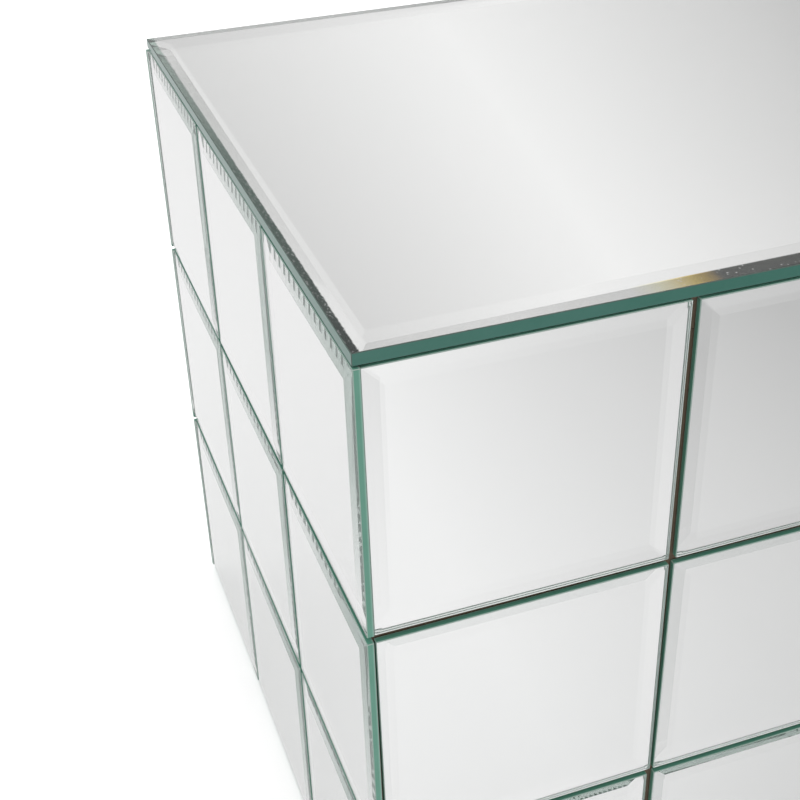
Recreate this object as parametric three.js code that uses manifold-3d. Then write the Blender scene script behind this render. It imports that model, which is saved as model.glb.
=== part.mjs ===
// A mirror-clad block: a board carcass with bevelled mirror tiles on its four sides and a
// bevelled mirror pane on top, standing on four low glides. Millimetres, +Z up, with the
// origin at the middle of the footprint, on the floor. The front faces -Y.
import * as THREE from "three";
import { ConvexGeometry } from "three/addons/geometries/ConvexGeometry.js";
import { mergeVertices } from "three/addons/utils/BufferGeometryUtils.js";
import Module from "manifold-3d";

const wasm = await Module();
wasm.setup();

// Overall size, over the glass and down to the floor.
const WIDTH = 400;
const DEPTH = 384;
const HEIGHT = 384;

// Side tiles: three columns and three rows on each side.
const TILE_THICKNESS = 4;
const TILE_BEVEL_WIDTH = 8.4;
const TILE_BEVEL_DEPTH = 1;
const TILE_JOINT = 3;
const COLUMN_NAMES = ["left", "centre", "right"];
const ROW_NAMES = ["bottom", "middle", "top"];

// Top pane.
const PANE_THICKNESS = 6;
const PANE_BEVEL_WIDTH = 14;
const PANE_BEVEL_DEPTH = 0.9;
const PANE_GAP = 0.8; // from the tiles' top edges to the pane

// Carcass.
const BOARD_THICKNESS = 15;
const BATTEN_SECTION = 22;
const BATTEN_CHAMFER = 4;

// Glides and their screws.
const GLIDE_HEIGHT = 3.5;
const GLIDE_RADIUS = 14;
const GLIDE_CHAMFER = 0.8;
const GLIDE_BORE_RADIUS = 2.3;
const GLIDE_RECESS_RADIUS = 5;
const GLIDE_RECESS_DEPTH = 1.8;
const GLIDE_INSET = 34; // from the carcass's faces to a glide's middle
const SCREW_HEAD_RADIUS = 4;
const SCREW_HEAD_HEIGHT = 1.3;
const SCREW_SHANK_RADIUS = 1.75;
const SCREW_LENGTH = 12; // of the shank, below the head
const SCREW_TIP_LENGTH = 2.5;
const CROSS_WIDTH = 0.9;
const CROSS_LENGTH = 4.4;
const CROSS_DEPTH = 0.8;
const ROUND_STEPS = 40; // sides of a round piece

const CLEARANCE = 0.3; // between pieces that touch, and for the film behind the glass

// Sizes that follow from those above.
const SETBACK = TILE_THICKNESS + CLEARANCE; // from the outer glass to the carcass
const CARCASS_WIDTH = WIDTH - 2 * SETBACK;
const CARCASS_DEPTH = DEPTH - 2 * SETBACK;
const PANE_SETBACK = TILE_BEVEL_DEPTH; // the pane ends over the tiles' ground edges
const PANE_BOTTOM = HEIGHT - PANE_THICKNESS;
const CARCASS_TOP = PANE_BOTTOM - CLEARANCE;
const TILES_TOP = PANE_BOTTOM - PANE_GAP;
const TILES_BOTTOM = GLIDE_HEIGHT;
const TILE_HEIGHT = shareOf(TILES_TOP - TILES_BOTTOM, ROW_NAMES.length);
const WALL_BOTTOM = GLIDE_HEIGHT + BOARD_THICKNESS + CLEARANCE;
const WALL_TOP = CARCASS_TOP - BOARD_THICKNESS - CLEARANCE;

const mirrorGlass = { color: 0xdfe5e3, roughness: 0.03, metalness: 0.95 };
const board = { color: 0xb08a5e, roughness: 0.75, metalness: 0 };
const softwood = { color: 0xd1ad76, roughness: 0.7, metalness: 0 };
const plastic = { color: 0x2c2d2e, roughness: 0.5, metalness: 0 };
const steel = { color: 0xa9abad, roughness: 0.35, metalness: 1 };

// What each of several equal pieces gets of a run, after the joints between them.
function shareOf(run, count) {
  return (run - (count - 1) * TILE_JOINT) / count;
}

function piece(name, geometry, look) {
  const mesh = new THREE.Mesh(geometry, new THREE.MeshStandardMaterial(look));
  mesh.name = name;
  return mesh;
}

// A slab of glass lying in XY with its back at z = 0. Its upper face is ground down to
// the edges by a bevel, so the edge stands bevelDepth lower than the face.
function bevelledGlass(width, depth, thickness, bevelWidth, bevelDepth) {
  const corners = [];
  const ring = (inset, z) => {
    for (const sx of [-1, 1])
      for (const sy of [-1, 1])
        corners.push(new THREE.Vector3(sx * (width / 2 - inset), sy * (depth / 2 - inset), z));
  };
  ring(0, 0);
  ring(0, thickness - bevelDepth);
  ring(bevelWidth, thickness);
  return new ConvexGeometry(corners);
}

function boxBetween(low, high) {
  const size = high.map((value, i) => value - low[i]);
  const middle = high.map((value, i) => (value + low[i]) / 2);
  return new THREE.BoxGeometry(...size).translate(...middle);
}

function solid(geometry) {
  const bare = geometry.clone();
  bare.deleteAttribute("normal");
  bare.deleteAttribute("uv");
  const merged = mergeVertices(bare, 1e-4);
  return new wasm.Manifold(
    new wasm.Mesh({
      numProp: 3,
      vertProperties: new Float32Array(merged.attributes.position.array),
      triVerts: new Uint32Array(merged.index.array),
    }),
  );
}

function geometryOf(body) {
  const { vertProperties, triVerts } = body.getMesh();
  const geometry = new THREE.BufferGeometry();
  geometry.setAttribute("position", new THREE.BufferAttribute(vertProperties, 3));
  geometry.setIndex(new THREE.BufferAttribute(triVerts, 1));
  geometry.computeVertexNormals();
  return geometry;
}

function cutAway(geometry, cutters) {
  return geometryOf(cutters.reduce((body, cutter) => body.subtract(solid(cutter)), solid(geometry)));
}

// A body turned about Z from a profile of [radius, z] points, listed upwards on its outside.
function turned(profile) {
  const points = profile.map(([radius, z]) => new THREE.Vector2(radius, z));
  return new THREE.LatheGeometry(points, ROUND_STEPS).rotateX(Math.PI / 2);
}

// One side's tiles. Seen from outside, the row ends flush with the right-hand corner,
// where its end shows, and starts behind the neighbouring side's tiles on the left.
function tiledSide(side, turn, sideWidth, outward) {
  const group = new THREE.Group();
  group.rotation.z = turn;
  const rowStart = -sideWidth / 2 + SETBACK;
  const tileWidth = shareOf(sideWidth / 2 - rowStart, COLUMN_NAMES.length);
  ROW_NAMES.forEach((rowName, row) => {
    COLUMN_NAMES.forEach((columnName, column) => {
      const tile = piece(
        `${side}_tile_${rowName}_${columnName}`,
        bevelledGlass(tileWidth, TILE_HEIGHT, TILE_THICKNESS, TILE_BEVEL_WIDTH, TILE_BEVEL_DEPTH),
        mirrorGlass,
      );
      tile.rotation.x = Math.PI / 2;
      tile.position.set(
        rowStart + tileWidth / 2 + column * (tileWidth + TILE_JOINT),
        -outward + TILE_THICKNESS,
        TILES_BOTTOM + TILE_HEIGHT / 2 + row * (TILE_HEIGHT + TILE_JOINT),
      );
      group.add(tile);
    });
  });
  return group;
}

function topPane() {
  const pane = piece(
    "top_pane",
    bevelledGlass(
      WIDTH - 2 * PANE_SETBACK,
      DEPTH - 2 * PANE_SETBACK,
      PANE_THICKNESS,
      PANE_BEVEL_WIDTH,
      PANE_BEVEL_DEPTH,
    ),
    mirrorGlass,
  );
  pane.position.z = PANE_BOTTOM;
  return pane;
}

// Where the four glides stand: name, x and y.
function glidePlaces() {
  const x = CARCASS_WIDTH / 2 - GLIDE_INSET;
  const y = CARCASS_DEPTH / 2 - GLIDE_INSET;
  return [
    ["front_left", -x, -y],
    ["front_right", x, -y],
    ["back_right", x, y],
    ["back_left", -x, y],
  ];
}

function carcass() {
  const group = new THREE.Group();
  const x = CARCASS_WIDTH / 2;
  const y = CARCASS_DEPTH / 2;
  const innerX = x - BOARD_THICKNESS;
  const innerY = y - BOARD_THICKNESS;

  const addBoard = (name, low, high) => group.add(piece(name, boxBetween(low, high), board));
  addBoard("left_board", [-x, -y, WALL_BOTTOM], [-innerX, y, WALL_TOP]);
  addBoard("right_board", [innerX, -y, WALL_BOTTOM], [x, y, WALL_TOP]);
  const between = innerX - CLEARANCE;
  addBoard("front_board", [-between, -y, WALL_BOTTOM], [between, -innerY, WALL_TOP]);
  addBoard("back_board", [-between, innerY, WALL_BOTTOM], [between, y, WALL_TOP]);
  addBoard("top_board", [-x, -y, CARCASS_TOP - BOARD_THICKNESS], [x, y, CARCASS_TOP]);

  const base = boxBetween([-x, -y, GLIDE_HEIGHT], [x, y, GLIDE_HEIGHT + BOARD_THICKNESS]);
  const pilotTop = screwSeat() + SCREW_HEAD_HEIGHT + SCREW_LENGTH + CLEARANCE;
  const pilots = glidePlaces().map(([, px, py]) =>
    turned([
      [0, GLIDE_HEIGHT - 1],
      [SCREW_SHANK_RADIUS + CLEARANCE, GLIDE_HEIGHT - 1],
      [SCREW_SHANK_RADIUS + CLEARANCE, pilotTop],
      [0, pilotTop],
    ]).translate(px, py, 0),
  );
  group.add(piece("base_board", cutAway(base, pilots), board));
  return group;
}

// Battens of square section in the carcass's four upright corners. The edge that faces
// the middle is chamfered.
function battens() {
  const group = new THREE.Group();
  const outline = new THREE.Shape([
    new THREE.Vector2(0, 0),
    new THREE.Vector2(BATTEN_SECTION, 0),
    new THREE.Vector2(BATTEN_SECTION, BATTEN_SECTION - BATTEN_CHAMFER),
    new THREE.Vector2(BATTEN_SECTION - BATTEN_CHAMFER, BATTEN_SECTION),
    new THREE.Vector2(0, BATTEN_SECTION),
  ]);
  const x = CARCASS_WIDTH / 2 - BOARD_THICKNESS - CLEARANCE;
  const y = CARCASS_DEPTH / 2 - BOARD_THICKNESS - CLEARANCE;
  const corners = [
    ["front_left", -x, -y],
    ["front_right", x, -y],
    ["back_right", x, y],
    ["back_left", -x, y],
  ];
  corners.forEach(([name, px, py], quarter) => {
    const batten = piece(
      `${name}_batten`,
      new THREE.ExtrudeGeometry(outline, { depth: WALL_TOP - WALL_BOTTOM, bevelEnabled: false }),
      softwood,
    );
    batten.position.set(px, py, WALL_BOTTOM);
    batten.rotation.z = (quarter * Math.PI) / 2;
    group.add(batten);
  });
  return group;
}

// Height of the lowest face of a glide screw's head, which is sunk into the glide.
function screwSeat() {
  return GLIDE_RECESS_DEPTH - CLEARANCE - SCREW_HEAD_HEIGHT;
}

function glideGeometry() {
  const top = GLIDE_HEIGHT - CLEARANCE;
  return turned([
    [GLIDE_RECESS_RADIUS, 0],
    [GLIDE_RADIUS - GLIDE_CHAMFER, 0],
    [GLIDE_RADIUS, GLIDE_CHAMFER],
    [GLIDE_RADIUS, top],
    [GLIDE_BORE_RADIUS, top],
    [GLIDE_BORE_RADIUS, GLIDE_RECESS_DEPTH],
    [GLIDE_RECESS_RADIUS, GLIDE_RECESS_DEPTH],
    [GLIDE_RECESS_RADIUS, 0],
  ]);
}

function screwGeometry() {
  const headTop = screwSeat() + SCREW_HEAD_HEIGHT;
  const tip = headTop + SCREW_LENGTH;
  const body = turned([
    [0, screwSeat()],
    [SCREW_HEAD_RADIUS, screwSeat()],
    [SCREW_HEAD_RADIUS, headTop],
    [SCREW_SHANK_RADIUS, headTop],
    [SCREW_SHANK_RADIUS, tip - SCREW_TIP_LENGTH],
    [0, tip],
  ]);
  const low = screwSeat() - 1;
  const floor = screwSeat() + CROSS_DEPTH;
  const bar = (lengthX, lengthY) =>
    boxBetween([-lengthX / 2, -lengthY / 2, low], [lengthX / 2, lengthY / 2, floor]);
  return cutAway(body, [bar(CROSS_LENGTH, CROSS_WIDTH), bar(CROSS_WIDTH, CROSS_LENGTH)]);
}

function glides() {
  const group = new THREE.Group();
  for (const [name, x, y] of glidePlaces()) {
    const glide = piece(`${name}_glide`, glideGeometry(), plastic);
    const screw = piece(`${name}_glide_screw`, screwGeometry(), steel);
    glide.position.set(x, y, 0);
    screw.position.set(x, y, 0);
    group.add(glide, screw);
  }
  return group;
}

const block = new THREE.Group();
block.name = "mirror_block";
block.add(topPane());
block.add(tiledSide("front", 0, WIDTH, DEPTH / 2));
block.add(tiledSide("right", Math.PI / 2, DEPTH, WIDTH / 2));
block.add(tiledSide("back", Math.PI, WIDTH, DEPTH / 2));
block.add(tiledSide("left", -Math.PI / 2, DEPTH, WIDTH / 2));
block.add(carcass());
block.add(battens());
block.add(glides());

export default block;
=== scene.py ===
"""A mirror-clad cube table: silvered glass tiles and a top pane on a board carcass.

Each tile and the pane is a real glass body: a clear face with ground bevels, silver on the
back, green polished edges and stoned arrises. The carcass, the glides and their screws keep
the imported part's own shapes. Units are metres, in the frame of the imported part.
"""

import math
import random

import bmesh
import bpy
from mathutils import Matrix, Vector


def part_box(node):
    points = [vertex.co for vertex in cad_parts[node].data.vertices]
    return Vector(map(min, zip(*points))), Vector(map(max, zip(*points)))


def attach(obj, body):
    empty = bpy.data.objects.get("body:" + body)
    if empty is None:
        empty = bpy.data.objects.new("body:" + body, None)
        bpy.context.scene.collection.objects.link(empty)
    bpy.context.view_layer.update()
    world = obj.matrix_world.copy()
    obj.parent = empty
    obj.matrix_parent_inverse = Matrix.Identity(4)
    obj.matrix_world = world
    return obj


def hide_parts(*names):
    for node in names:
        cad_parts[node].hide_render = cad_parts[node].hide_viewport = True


MM = 0.001
UP = Vector((0, 0, 1))

# Camera: a direction to look in, a roll, and a lens in mm for a sensor of the width below
CAMERA_STAND = Vector((-0.3107, -0.5776, 0.6176))
CAMERA_LOOK = Vector((0.26738, 0.80248, -0.53341))
CAMERA_ROLL = math.radians(-1.876)
CAMERA_LENS = 61.27
CAMERA_SENSOR = 36
CAMERA_NEAREST = 20 * MM

# Glass
TILE_BEVEL = 8.4 * MM  # width of the ground strip along each edge of a tile
TILE_GRIND = math.radians(6.8)  # its slope
ARRIS = 0.3 * MM  # the sharp edge taken off with a stone
GLASS_IOR = 1.52
GLASS_TAKES = (0.1, 0.76, 0.6, 1)  # colour that light takes on in the glass
GLASS_DENSITY = 2.2  # and how fast, per metre
SILVER, EDGE, STONED, CLEAR = range(4)  # material slots of a glass body
CORNER_SIGNS = ((-1, -1), (1, -1), (1, 1), (-1, 1))  # a slab's corners, anticlockwise

# The top pane was ground by hand: each side's bevel has its own width where it starts, its
# width where it ends, going round anticlockwise from the front left corner, and its slope.
PANE_BEVELS = (
    (12.6 * MM, 17.5 * MM, math.radians(3.0)),
    (14.0 * MM, 14.0 * MM, math.radians(4.2)),
    (13.0 * MM, 18.5 * MM, math.radians(3.0)),
    (10.7 * MM, 9.2 * MM, math.radians(5.2)),
)

# Along the front edge of the pane is a painted colour fringe, from yellow on the left through brown
# into a painted dark band, standing in for light split and lost in the bevel: how far along, from
# the middle of the pane, and what the glass lets through there.
PANE_PAINTED_FRINGE = (
    (-90 * MM, (1.0, 1.0, 1.0)),
    (-84 * MM, (1.0, 0.99, 0.8)),
    (-78 * MM, (1.0, 0.94, 0.53)),
    (-70 * MM, (0.85, 0.6, 0.15)),
    (-65 * MM, (0.58, 0.35, 0.03)),
    (-60 * MM, (0.28, 0.14, 0.01)),
    (-54 * MM, (0.01, 0.012, 0.01)),
)
PANE_FRINGE_WIDTH = (5.6 * MM, 10.5 * MM)  # at the left end and at the right end
PANE_FRINGE_SOFT = 0.3 * MM  # how far its edge fades either way

# The pane's silver stops short of its left edge, and dark backing paint shows there
MARGIN = (4.6 * MM, 4.0 * MM)  # where the silver is whole, and where it is gone
MARGIN_WANDER = 0.5 * MM
MARGIN_FRONT = (0.025, 0.03, 0.028)
MARGIN_MIDDLE = ((0.45, (0.06, 0.115, 0.09)),)
MARGIN_BACK = (0.5, 0.62, 0.56)

# How far a tile is laid from its true place, and how much its bevel's width varies
LAY_SEED = 7
LAY_SHIFT = 0.3 * MM
LAY_TURN = math.radians(0.1)
LAY_TILT = math.radians(0.1)
LAY_PROUD = 0.1 * MM
GRIND_ERROR = 0.4 * MM

# Tiles with a place of their own: along the row, up, and turned anticlockwise
LAID = {
    "front_top_left": (-0.2 * MM, -0.2 * MM, math.radians(0.15)),
    "front_top_centre": (0.1 * MM, -0.2 * MM, math.radians(0.2)),
    "front_middle_left": (0.8 * MM, -0.5 * MM, math.radians(0.35)),
    "front_middle_centre": (-0.3 * MM, -0.4 * MM, 0.0),
}

OUTWARD = {
    "front": Vector((0, -1, 0)),
    "right": Vector((1, 0, 0)),
    "back": Vector((0, 1, 0)),
    "left": Vector((-1, 0, 0)),
}
ROWS = ("bottom", "middle", "top")
COLUMNS = ("left", "centre", "right")
CORNERS = ("front_left", "front_right", "back_right", "back_left")
BOARDS = ("left_board", "right_board", "front_board", "back_board", "top_board", "base_board")

# The room is brightest where a direction is square to the band's normal. BAND_FALL gives how
# far across the room, from -BAND_REACH to BAND_REACH along the normal, and how bright.
BAND_NORMAL = (0.8164, -0.1251, -0.5639)
BAND_REACH = 0.6
BAND_FALL = ((0.28, 0.62), (0.465, 0.95), (0.5, 1.0), (0.535, 0.94), (0.64, 0.72), (0.72, 0.5))
BAND_ENDS = (0.8, 0.78)
WORLD_LIGHT = 0.96
WORLD_FILL = 0.86  # what matt surfaces are lit by, all round

LAMP_LIGHT = 1.0
LAMP_SOFTNESS = math.radians(100)
LAMP_TILT = (math.radians(12), math.radians(-10), 0)

# The floor as the mirrors see it has painted shade, darker to the right: the table below gives
# how far across, from FLOOR_LEFT to FLOOR_RIGHT along X, and how bright.
FLOOR_HALF = 8.0
FLOOR_LEFT = -0.5
FLOOR_RIGHT = 1.4
FLOOR_PAINTED_FALL = ((0.16, 0.84), (0.24, 0.83), (0.33, 0.675), (0.47, 0.475), (0.66, 0.5))
FLOOR_PAINTED_ENDS = ((0.765, 0.755, 0.76), (0.75, 0.75, 0.75))
FLOOR_PAINTED_GLOW = 0.42  # share of that brightness painted on as a glow, which no shadow takes away
PAPER_LIT = 1.1  # how bright white paper is under the lamp, clear of any shadow
FLOOR_LIFT = 0.3  # added to the floor as the camera sees it

DIFFUSE_BOUNCES = 6
MIRROR_BOUNCES = 96  # light goes back and forth many times between silver and ground glass

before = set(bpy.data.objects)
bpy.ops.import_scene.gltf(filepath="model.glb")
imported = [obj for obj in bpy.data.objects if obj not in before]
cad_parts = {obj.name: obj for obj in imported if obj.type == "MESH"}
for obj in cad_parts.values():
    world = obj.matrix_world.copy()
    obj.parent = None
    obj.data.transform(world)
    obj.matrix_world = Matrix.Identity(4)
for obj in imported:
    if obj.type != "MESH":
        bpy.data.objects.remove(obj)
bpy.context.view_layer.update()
scene = bpy.context.scene


# ---------------------------------------------------------------- camera


def place_camera():
    """Stands near the front left, a little above, and looks down past the near top corner."""
    data = bpy.data.cameras.new("camera")
    data.sensor_width = CAMERA_SENSOR
    data.lens = CAMERA_LENS
    data.clip_start = CAMERA_NEAREST
    camera = bpy.data.objects.new("camera", data)
    aim = CAMERA_LOOK.to_track_quat("-Z", "Y").to_matrix().to_4x4()
    roll = Matrix.Rotation(CAMERA_ROLL, 4, "Z")
    camera.matrix_world = Matrix.Translation(CAMERA_STAND) @ aim @ roll
    scene.collection.objects.link(camera)
    scene.camera = camera


# ---------------------------------------------------------------- node helpers


def add(tree, kind, inputs=None, **settings):
    """A node with its settings, and its inputs as values or as sockets to link from."""
    node = tree.nodes.new(kind)
    for name, value in settings.items():
        setattr(node, name, value)
    for name, value in (inputs or {}).items():
        socket = node.inputs[name]
        if isinstance(value, bpy.types.NodeSocket):
            tree.links.new(value, socket)
        else:
            socket.default_value = value
    return node


def use(tree, group, inputs):
    """Places an effect in a material."""
    return add(tree, "ShaderNodeGroup", inputs, node_tree=group)


def effect(name, inputs, outputs):
    """An empty node group with named inputs and outputs: its tree, its input and output nodes."""
    tree = bpy.data.node_groups.new(name, "ShaderNodeTree")
    for label, kind, default in inputs:
        socket = tree.interface.new_socket(label, in_out="INPUT", socket_type=kind)
        socket.default_value = default
    for label, kind in outputs:
        tree.interface.new_socket(label, in_out="OUTPUT", socket_type=kind)
    return tree, tree.nodes.new("NodeGroupInput"), tree.nodes.new("NodeGroupOutput")


def new_material(name):
    """A material with one Principled surface: itself, its tree, the surface and the output."""
    material = bpy.data.materials.new(name)
    material.use_nodes = True
    tree = material.node_tree
    tree.nodes.clear()
    output = tree.nodes.new("ShaderNodeOutputMaterial")
    surface = tree.nodes.new("ShaderNodeBsdfPrincipled")
    tree.links.new(surface.outputs["BSDF"], output.inputs["Surface"])
    return material, tree, surface, output


def object_axes(tree):
    """X, Y and Z in the piece's own frame."""
    place = add(tree, "ShaderNodeTexCoord")
    return add(tree, "ShaderNodeSeparateXYZ", {"Vector": place.outputs["Object"]}).outputs


def remap(tree, value, start, end, low=0.0, high=1.0):
    """Runs from low to high as value goes from start to end, and holds beyond them."""
    inputs = {"Value": value, "From Min": start, "From Max": end, "To Min": low, "To Max": high}
    return add(tree, "ShaderNodeMapRange", inputs).outputs[0]


def sums(tree, operation, first, second):
    """Two numbers put together by a Math node."""
    return add(tree, "ShaderNodeMath", {0: first, 1: second}, operation=operation).outputs[0]


def mixed(tree, factor, first, second):
    """The first colour where factor is 0, and the second where it is 1."""
    inputs = {"Factor": factor, 6: first, 7: second}
    return add(tree, "ShaderNodeMix", inputs, data_type="RGBA").outputs[2]


def ramp(tree, factor, start, stops, end):
    """A colour by factor: start at 0, the stops between as (factor, colour), and end at 1."""
    node = add(tree, "ShaderNodeValToRGB", {"Fac": factor})
    elements = node.color_ramp.elements
    elements[0].color = (*start, 1)
    elements[1].color = (*end, 1)
    for position, colour in stops:
        elements.new(position).color = (*colour, 1)
    return node.outputs["Color"]


def grey(level):
    return (level, level, level)


def relief(tree, surface, height, strength, depth):
    """Raises the surface's fine grain by a height that varies from 0 to 1."""
    inputs = {"Height": height, "Strength": strength, "Distance": depth}
    bump = add(tree, "ShaderNodeBump", inputs)
    tree.links.new(bump.outputs[0], surface.inputs["Normal"])


# ---------------------------------------------------------------- effects


def make_mottle():
    """Two colours mixed by cloudy noise, with a height to match."""
    tree, inp, out = effect(
        "mottle",
        [
            ("Base", "NodeSocketColor", (0.5, 0.5, 0.5, 1)),
            ("Patch", "NodeSocketColor", (0.4, 0.4, 0.4, 1)),
            ("Scale", "NodeSocketFloat", 100.0),
            ("Stretch", "NodeSocketVector", (1, 1, 1)),
        ],
        [("Color", "NodeSocketColor"), ("Height", "NodeSocketFloat")],
    )
    place = add(tree, "ShaderNodeTexCoord")
    stretched = add(
        tree,
        "ShaderNodeVectorMath",
        {0: place.outputs["Object"], 1: inp.outputs["Stretch"]},
        operation="MULTIPLY",
    )
    noise = add(
        tree,
        "ShaderNodeTexNoise",
        {
            "Vector": stretched.outputs[0],
            "Scale": inp.outputs["Scale"],
            "Detail": 6.0,
            "Roughness": 0.62,
        },
    )
    height = noise.outputs["Fac"]
    colour = mixed(tree, height, inp.outputs["Base"], inp.outputs["Patch"])
    tree.links.new(colour, out.inputs["Color"])
    tree.links.new(height, out.inputs["Height"])
    return tree


def make_dust():
    """Scattered specks, as a mask from 0 to 1."""
    tree, inp, out = effect(
        "dust",
        [("Speck Scale", "NodeSocketFloat", 900.0), ("Speck Share", "NodeSocketFloat", 0.1)],
        [("Specks", "NodeSocketFloat")],
    )
    place = add(tree, "ShaderNodeTexCoord")
    cells = add(
        tree,
        "ShaderNodeTexVoronoi",
        {"Vector": place.outputs["Object"], "Scale": inp.outputs["Speck Scale"]},
    )
    specks = remap(tree, cells.outputs["Distance"], inp.outputs["Speck Share"], 0.0)
    tree.links.new(specks, out.inputs["Specks"])
    return tree


MOTTLE = make_mottle()
DUST = make_dust()


# ---------------------------------------------------------------- materials


def clear_glass(name, speck):
    """Clear float glass, rough only where a speck of dust sits, with the green that it takes
    on over a distance."""
    material, tree, surface, output = new_material(name)
    surface.inputs["Base Color"].default_value = (1, 1, 1, 1)
    surface.inputs["Transmission Weight"].default_value = 1
    surface.inputs["IOR"].default_value = GLASS_IOR
    marks = use(tree, DUST, {"Speck Scale": 330.0, "Speck Share": 0.05})
    rough = remap(tree, marks.outputs["Specks"], 0.0, 1.0, 0.0, speck)
    tree.links.new(rough, surface.inputs["Roughness"])
    inputs = {"Color": GLASS_TAKES, "Density": GLASS_DENSITY}
    depth = add(tree, "ShaderNodeVolumeAbsorption", inputs)
    tree.links.new(depth.outputs[0], output.inputs["Volume"])
    return material


def pane_glass(low, high):
    """The top pane's glass, with a painted colour fringe and painted dark band along its front
    edge.
    """
    material = clear_glass("pane_glass", 0.5)
    tree = material.node_tree
    surface = tree.nodes["Principled BSDF"]
    axis = object_axes(tree)
    reach = (high.x - low.x) / 2
    along = remap(tree, axis["X"], -reach, reach)
    stops = [((distance + reach) / (2 * reach), colour) for distance, colour in PANE_PAINTED_FRINGE]
    # painted colour fringe and painted dark band, from yellow through brown to nearly black
    painted_fringe = ramp(tree, along, PANE_PAINTED_FRINGE[0][1], stops, PANE_PAINTED_FRINGE[-1][1])
    width = remap(tree, along, 0.0, 1.0, *PANE_FRINGE_WIDTH)
    inward = sums(tree, "ADD", axis["Y"], (high.y - low.y) / 2)
    beyond = sums(tree, "SUBTRACT", inward, width)
    fringed = remap(tree, beyond, PANE_FRINGE_SOFT, -PANE_FRINGE_SOFT)
    flecks = use(tree, DUST, {"Speck Scale": 420.0, "Speck Share": 0.2})
    clean = sums(tree, "SUBTRACT", 1.0, flecks.outputs["Specks"])
    share = sums(tree, "MULTIPLY", fringed, clean)
    tree.links.new(mixed(tree, share, (1, 1, 1, 1), painted_fringe), surface.inputs["Base Color"])
    return material


def silvering(name, bright, dull):
    """The silvering on the back of the glass, seen through it."""
    material, tree, surface, _ = new_material(name)
    surface.inputs["Metallic"].default_value = 1
    surface.inputs["Roughness"].default_value = 0.0
    cloud = use(tree, MOTTLE, {"Base": bright, "Patch": dull, "Scale": 9.0})
    tree.links.new(cloud.outputs["Color"], surface.inputs["Base Color"])
    return material


def pane_silvering(low, high):
    """The top pane's silvering. It stops short of the left edge, where the dark backing paint
    shows, paler and greener towards the back."""
    material = silvering("pane_silvering", (0.945, 0.925, 0.925, 1), (0.935, 0.92, 0.918, 1))
    tree = material.node_tree
    surface = tree.nodes["Principled BSDF"]
    silver = surface.inputs["Base Color"].links[0].from_socket
    axis = object_axes(tree)
    place = add(tree, "ShaderNodeTexCoord")
    inputs = {"Vector": place.outputs["Object"], "Scale": 420.0, "Detail": 3.0}
    ragged = add(tree, "ShaderNodeTexNoise", inputs)
    wander = remap(tree, ragged.outputs["Fac"], 0.0, 1.0, -MARGIN_WANDER, MARGIN_WANDER)
    edge = sums(tree, "ADD", axis["X"], wander)
    left = -(high.x - low.x) / 2
    margin = remap(tree, edge, left + MARGIN[0], left + MARGIN[1])
    reach = (high.y - low.y) / 2
    depth = remap(tree, axis["Y"], -reach, reach)
    paint = ramp(tree, depth, MARGIN_FRONT, MARGIN_MIDDLE, MARGIN_BACK)
    flecks = use(tree, DUST, {"Speck Scale": 700.0, "Speck Share": 0.35})
    speckled = mixed(tree, flecks.outputs["Specks"], paint, (0.6, 0.6, 0.6, 1))
    both = mixed(tree, margin, silver, speckled)
    tree.links.new(both, surface.inputs["Base Color"])
    return material


def mirror_from_inside(tree, surface, outside):
    """Gives a surface its outside colour, and makes it a bright mirror to light in the glass."""
    inside = add(tree, "ShaderNodeNewGeometry").outputs["Backfacing"]
    both = mixed(tree, inside, outside, (0.93, 0.97, 0.95, 1))
    tree.links.new(both, surface.inputs["Base Color"])
    tree.links.new(inside, surface.inputs["Metallic"])


def polished_edge(name, deep, pale, painted_lit, thickness):
    """A polished edge of float glass: green, slightly cloudy and uneven, with painted light along
    its silvered side. From inside the glass it is a bright mirror."""
    material, tree, surface, _ = new_material(name)
    tint = use(tree, MOTTLE, {"Base": deep, "Patch": pale, "Scale": 60.0})
    # painted light: the edge turns to a lighter colour towards its silvered side
    near_silver = remap(tree, object_axes(tree)["Z"], -thickness / 4, -thickness / 2)
    outside = mixed(tree, near_silver, tint.outputs["Color"], painted_lit)
    mirror_from_inside(tree, surface, outside)
    surface.inputs["Roughness"].default_value = 0.16
    surface.inputs["IOR"].default_value = GLASS_IOR
    relief(tree, surface, tint.outputs["Height"], 0.08, 0.4 * MM)
    return material


def stoned_arris(name, dark, light):
    """The narrow stoned line along each edge, matt and grainy."""
    material, tree, surface, _ = new_material(name)
    tint = use(tree, MOTTLE, {"Base": dark, "Patch": light, "Scale": 500.0})
    mirror_from_inside(tree, surface, tint.outputs["Color"])
    surface.inputs["Roughness"].default_value = 0.45
    return material


def mottled(name, roughness, grain, mottle):
    """A matt surface: its mottled colours, and a grain of the given strength and depth."""
    material, tree, surface, _ = new_material(name)
    tint = use(tree, MOTTLE, mottle)
    tree.links.new(tint.outputs["Color"], surface.inputs["Base Color"])
    surface.inputs["Roughness"].default_value = roughness
    relief(tree, surface, tint.outputs["Height"], *grain)
    return material


def fibreboard():
    fibres = {"Base": (0.1, 0.068, 0.045, 1), "Patch": (0.2, 0.145, 0.1, 1), "Scale": 900.0}
    return mottled("fibreboard", 0.82, (0.4, 0.3 * MM), fibres)


def softwood():
    """Planed softwood, its grain running up the batten."""
    grain = {
        "Base": (0.66, 0.47, 0.26, 1),
        "Patch": (0.46, 0.28, 0.13, 1),
        "Scale": 160.0,
        "Stretch": (1, 1, 0.06),
    }
    return mottled("planed_softwood", 0.62, (0.25, 0.4 * MM), grain)


def moulded_plastic():
    skin = {
        "Base": (0.018, 0.018, 0.019, 1),
        "Patch": (0.035, 0.035, 0.037, 1),
        "Scale": 1400.0,
    }
    return mottled("moulded_plastic", 0.5, (0.3, 0.1 * MM), skin)


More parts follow.
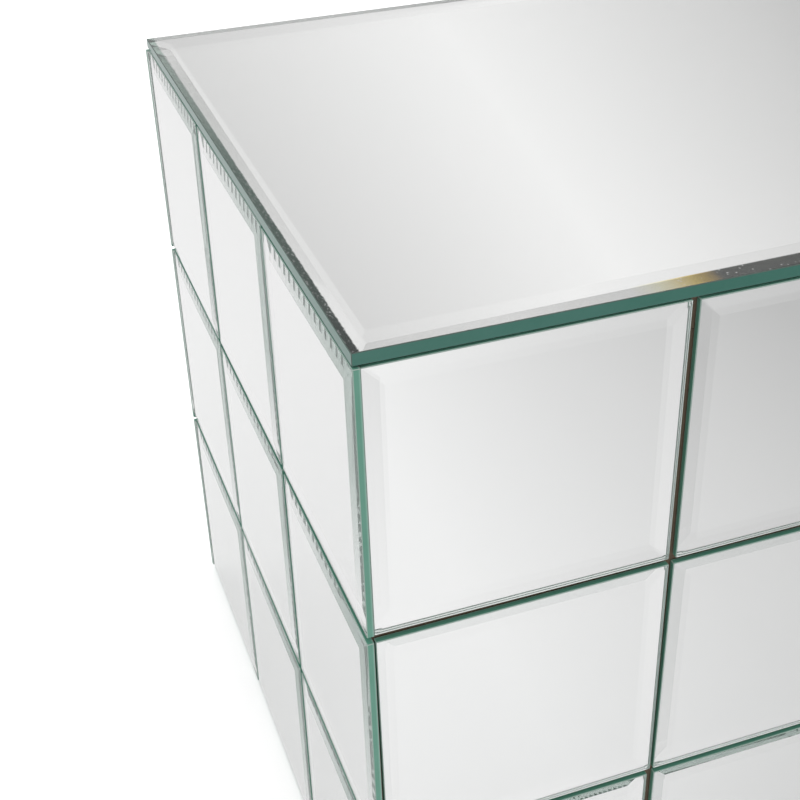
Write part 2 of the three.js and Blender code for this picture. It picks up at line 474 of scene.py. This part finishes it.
def plated_steel():
    material, tree, surface, _ = new_material("zinc_plated_steel")
    bloom = use(
        tree,
        MOTTLE,
        {"Base": (0.62, 0.62, 0.63, 1), "Patch": (0.5, 0.51, 0.52, 1), "Scale": 700.0},
    )
    tree.links.new(bloom.outputs["Color"], surface.inputs["Base Color"])
    surface.inputs["Metallic"].default_value = 1
    rough = remap(tree, bloom.outputs["Height"], 0.0, 1.0, 0.22, 0.42)
    tree.links.new(rough, surface.inputs["Roughness"])
    return material


# ---------------------------------------------------------------- glass bodies


def grind(shell, a, b, c, finish):
    """Takes off what lies beyond the plane through three points, and finishes the cut."""
    normal = (b - a).cross(c - a).normalized()
    if normal.dot(a) < 0:
        normal.negate()
    everything = shell.verts[:] + shell.edges[:] + shell.faces[:]
    cut = bmesh.ops.bisect_plane(
        shell, geom=everything, plane_co=a, plane_no=normal, clear_outer=True
    )
    rim = [item for item in cut["geom_cut"] if isinstance(item, bmesh.types.BMEdge)]
    face = bmesh.ops.contextual_create(shell, geom=rim)["faces"][0]
    face.material_index = finish


def glass_body(name, size, bevels, materials, place):
    """A slab of silvered glass. size is its width, height and thickness; bevels gives each
    side's starting width, ending width and slope; place takes its own axes (along, up, out of
    the face) to the frame. Its own origin is in the middle of the slab."""
    corners = [Vector((x * size[0] / 2, y * size[1] / 2, 0)) for x, y in CORNER_SIGNS]
    to_face = UP * (size[2] / 2)
    lift = UP * ARRIS
    shell = bmesh.new()
    lower = [shell.verts.new(corner - to_face) for corner in corners]
    upper = [shell.verts.new(corner + to_face) for corner in corners]
    shell.faces.new(reversed(lower)).material_index = SILVER
    shell.faces.new(upper).material_index = CLEAR
    for i in range(4):
        j = (i + 1) % 4
        shell.faces.new((lower[i], lower[j], upper[j], upper[i])).material_index = EDGE
    for i, (width_start, width_end, slope) in enumerate(bevels):
        start = corners[i]
        end = corners[(i + 1) % 4]
        inward = UP.cross((end - start).normalized())
        crest_start = start + to_face - UP * (width_start * math.tan(slope))
        crest_end = end + to_face - UP * (width_end * math.tan(slope))
        top_start = start + inward * width_start + to_face
        top_end = end + inward * width_end + to_face
        foot_start = start - to_face
        foot_end = end - to_face
        grind(shell, top_start, top_end, crest_start, CLEAR)
        grind(shell, crest_start - lift, crest_end - lift, crest_start + inward * ARRIS, STONED)
        grind(shell, foot_start + lift, foot_end + lift, foot_start + inward * ARRIS, STONED)
    for i in range(4):
        along = (corners[(i + 1) % 4] - corners[i]).normalized() * ARRIS
        inward = UP.cross(along)
        near = corners[i] + along
        grind(shell, near, corners[i] + inward, near + to_face, STONED)
    bmesh.ops.recalc_face_normals(shell, faces=shell.faces[:])
    mesh = bpy.data.meshes.new(name)
    shell.to_mesh(mesh)
    shell.free()
    for material in materials:
        mesh.materials.append(material)
    body = bpy.data.objects.new(name, mesh)
    body.matrix_world = place
    scene.collection.objects.link(body)
    return body


def axes(along, up, out, origin):
    place = Matrix((along, up, out)).transposed().to_4x4()
    place.translation = origin
    return place


def tile_finishes():
    """A tile's materials, in the order of its slots. All the tiles are as thick as this one."""
    low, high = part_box("front_tile_top_left")
    deep = (0.08, 0.25, 0.175, 1)
    pale = (0.13, 0.32, 0.25, 1)
    # painted light along the silvered side of the edge
    painted_lit = (0.28, 0.46, 0.38, 1)
    return (
        silvering("tile_silvering", (0.983, 0.975, 0.975, 1), (0.976, 0.97, 0.97, 1)),
        polished_edge("tile_edge", deep, pale, painted_lit, high.y - low.y),
        stoned_arris("tile_arris", (0.22, 0.32, 0.28, 1), (0.36, 0.46, 0.41, 1)),
        clear_glass("tile_glass", 0.3),
    )


def pane_finishes(low, high):
    """The top pane's materials, in the order of its slots."""
    deep = (0.02, 0.13, 0.092, 1)
    pale = (0.05, 0.165, 0.135, 1)
    # painted light along the silvered side of the edge
    painted_lit = (0.04, 0.15, 0.12, 1)
    return (
        pane_silvering(low, high),
        polished_edge("pane_edge", deep, pale, painted_lit, high.z - low.z),
        stoned_arris("pane_arris", (0.03, 0.06, 0.05, 1), (0.1, 0.14, 0.12, 1)),
        pane_glass(low, high),
    )


def lay_tiles():
    """Each tile where the part has it, give or take what a hand-laid tile is out."""
    dice = random.Random(LAY_SEED)
    materials = tile_finishes()

    def out_by(limit):
        return dice.uniform(-limit, limit)

    for side, out in OUTWARD.items():
        along = UP.cross(out)
        for row in ROWS:
            for column in COLUMNS:
                node = f"{side}_tile_{row}_{column}"
                low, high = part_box(node)
                span = high - low
                size = (abs(span.dot(along)), span.z, abs(span.dot(out)))
                error = out_by(LAY_SHIFT), out_by(LAY_SHIFT), out_by(LAY_TURN)
                laid = LAID.get(f"{side}_{row}_{column}", error)
                shift_along, shift_up, turn = laid
                shift = along * shift_along + UP * shift_up + out * LAY_PROUD
                lie = (
                    Matrix.Rotation(turn, 4, "Z")
                    @ Matrix.Rotation(out_by(LAY_TILT), 4, "X")
                    @ Matrix.Rotation(out_by(LAY_TILT), 4, "Y")
                )
                bevels = [
                    (TILE_BEVEL + out_by(GRIND_ERROR), TILE_BEVEL + out_by(GRIND_ERROR), TILE_GRIND)
                    for _ in range(4)
                ]
                place = axes(along, UP, out, (low + high) / 2 + shift) @ lie
                name = f"{side}_glass_{row}_{column}"
                tile = glass_body(name, size, bevels, materials, place)
                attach(tile, "root")
                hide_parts(node)


def lay_pane():
    low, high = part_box("top_pane")
    place = axes(Vector((1, 0, 0)), Vector((0, 1, 0)), UP, (low + high) / 2)
    size = tuple(high - low)
    pane = glass_body("top_glass", size, PANE_BEVELS, pane_finishes(low, high), place)
    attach(pane, "root")
    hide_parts("top_pane")


def finish_node(node, material):
    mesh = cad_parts[node].data
    mesh.materials.clear()
    mesh.materials.append(material)


def finish_carcass():
    board = fibreboard()
    wood = softwood()
    plastic = moulded_plastic()
    steel = plated_steel()
    for node in BOARDS:
        finish_node(node, board)
    for corner in CORNERS:
        finish_node(f"{corner}_batten", wood)
        finish_node(f"{corner}_glide", plastic)
        finish_node(f"{corner}_glide_screw", steel)


# ---------------------------------------------------------------- studio


def floor_paper():
    """White paper. It is lit evenly for the camera, while the mirrors see painted shade on it,
    darker to the right, and a painted glow that no shadow takes away. From below it is clear, so
    that the underside shows."""
    material, tree, surface, output = new_material("floor_paper")
    white = {"Base": (0.93, 0.93, 0.93, 1), "Patch": (0.95, 0.95, 0.95, 1), "Scale": 30.0}
    paper = use(tree, MOTTLE, white)
    across = remap(tree, object_axes(tree)["X"], FLOOR_LEFT, FLOOR_RIGHT)
    stops = [(position, grey(level)) for position, level in FLOOR_PAINTED_FALL]
    # painted shade: for the mirrors the floor darkens to the right
    painted_shade = ramp(tree, across, FLOOR_PAINTED_ENDS[0], stops, FLOOR_PAINTED_ENDS[1])
    painted_lit = add(
        tree,
        "ShaderNodeVectorMath",
        {0: painted_shade, "Scale": 1 - FLOOR_PAINTED_GLOW},
        operation="SCALE",
    )
    # painted glow: for the mirrors the paper shines as if lit, whatever shades it
    painted_glow = add(
        tree,
        "ShaderNodeVectorMath",
        {0: painted_shade, "Scale": PAPER_LIT * FLOOR_PAINTED_GLOW},
        operation="SCALE",
    )
    direct = add(tree, "ShaderNodeLightPath").outputs["Is Camera Ray"]
    colour = mixed(tree, direct, painted_lit.outputs[0], paper.outputs["Color"])
    shine = mixed(tree, direct, painted_glow.outputs[0], (*grey(FLOOR_LIFT), 1))
    tree.links.new(colour, surface.inputs["Base Color"])
    tree.links.new(shine, surface.inputs["Emission Color"])
    surface.inputs["Emission Strength"].default_value = 1
    surface.inputs["Roughness"].default_value = 0.9
    surface.inputs["Specular IOR Level"].default_value = 0.0
    below = add(tree, "ShaderNodeNewGeometry").outputs["Backfacing"]
    clear = add(tree, "ShaderNodeBsdfTransparent").outputs[0]
    sheet = add(tree, "ShaderNodeMixShader", {0: below, 1: surface.outputs["BSDF"], 2: clear})
    tree.links.new(sheet.outputs[0], output.inputs["Surface"])
    return material


def lay_floor():
    corners = [(x * FLOOR_HALF, y * FLOOR_HALF, 0) for x, y in CORNER_SIGNS]
    mesh = bpy.data.meshes.new("floor")
    mesh.from_pydata(corners, [], [(0, 1, 2, 3)])
    mesh.materials.append(floor_paper())
    floor = bpy.data.objects.new("floor", mesh)
    scene.collection.objects.link(floor)


def light_room():
    """A pale room, brightest along a band that leans from the floor up to the right."""
    world = bpy.data.worlds.new("studio")
    world.use_nodes = True
    tree = world.node_tree
    tree.nodes.clear()
    output = tree.nodes.new("ShaderNodeOutputWorld")
    place = add(tree, "ShaderNodeTexCoord")
    side = add(
        tree,
        "ShaderNodeVectorMath",
        {0: place.outputs["Generated"], 1: BAND_NORMAL},
        operation="DOT_PRODUCT",
    )
    share = remap(tree, side.outputs["Value"], -BAND_REACH, BAND_REACH)
    stops = [(position, grey(level)) for position, level in BAND_FALL]
    fall = ramp(tree, share, grey(BAND_ENDS[0]), stops, grey(BAND_ENDS[1]))
    matt = add(tree, "ShaderNodeLightPath").outputs["Is Diffuse Ray"]
    room = mixed(tree, matt, fall, (*grey(WORLD_FILL), 1))
    sky = add(tree, "ShaderNodeBackground", {"Color": room, "Strength": WORLD_LIGHT})
    tree.links.new(sky.outputs[0], output.inputs["Surface"])
    scene.world = world


def hang_lamp():
    """A broad soft light overhead, which the mirrors don't show."""
    lamp = bpy.data.lights.new("overhead", "SUN")
    lamp.energy = LAMP_LIGHT
    lamp.angle = LAMP_SOFTNESS
    overhead = bpy.data.objects.new("overhead", lamp)
    overhead.rotation_euler = LAMP_TILT
    overhead.visible_glossy = False
    overhead.visible_transmission = False
    scene.collection.objects.link(overhead)


def set_finish():
    scene.view_settings.view_transform = "Standard"
    scene.cycles.max_bounces = MIRROR_BOUNCES
    scene.cycles.glossy_bounces = MIRROR_BOUNCES
    scene.cycles.transmission_bounces = MIRROR_BOUNCES
    scene.cycles.diffuse_bounces = DIFFUSE_BOUNCES
    scene.cycles.use_denoising = True


place_camera()
lay_tiles()
lay_pane()
finish_carcass()
lay_floor()
light_room()
hang_lamp()
set_finish()
